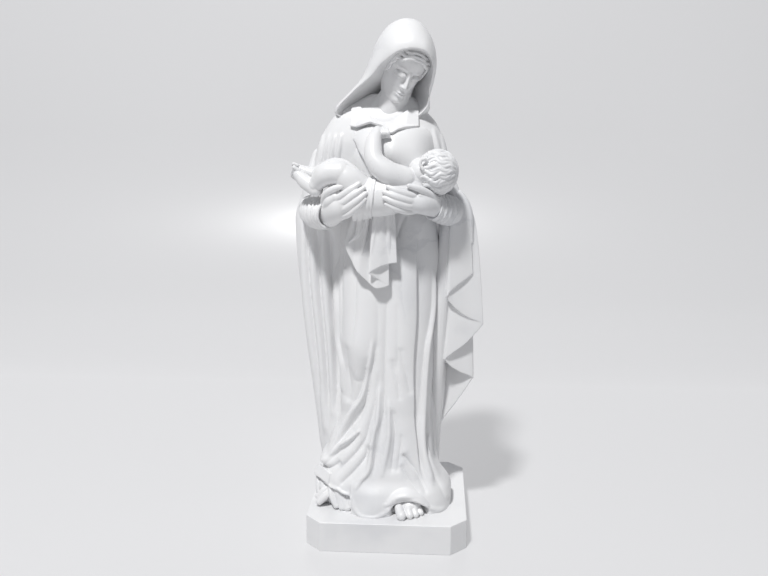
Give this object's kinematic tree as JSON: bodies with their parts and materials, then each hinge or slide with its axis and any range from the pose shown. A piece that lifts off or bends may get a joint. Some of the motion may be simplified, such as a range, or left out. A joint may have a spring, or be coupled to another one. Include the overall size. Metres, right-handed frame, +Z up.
{
  "type": "madonna and child statue",
  "caption": "Carved white marble devotional statue of a veiled woman in a long gown and cloak cradling an infant, standing on a low plinth with cut corners.",
  "frame": {"origin": "centre of the plinth's underside", "axes": "+Z up, -Y towards the front that the woman faces, +X to her left"},
  "size_m": [0.6333, 0.5309, 1.6998],
  "materials": {
    "marble": "polished to a soft satin, white with faint grey veining"
  },
  "bodies": {
    "root": {"madonna_and_child": "marble"}
  },
  "joints": []
}
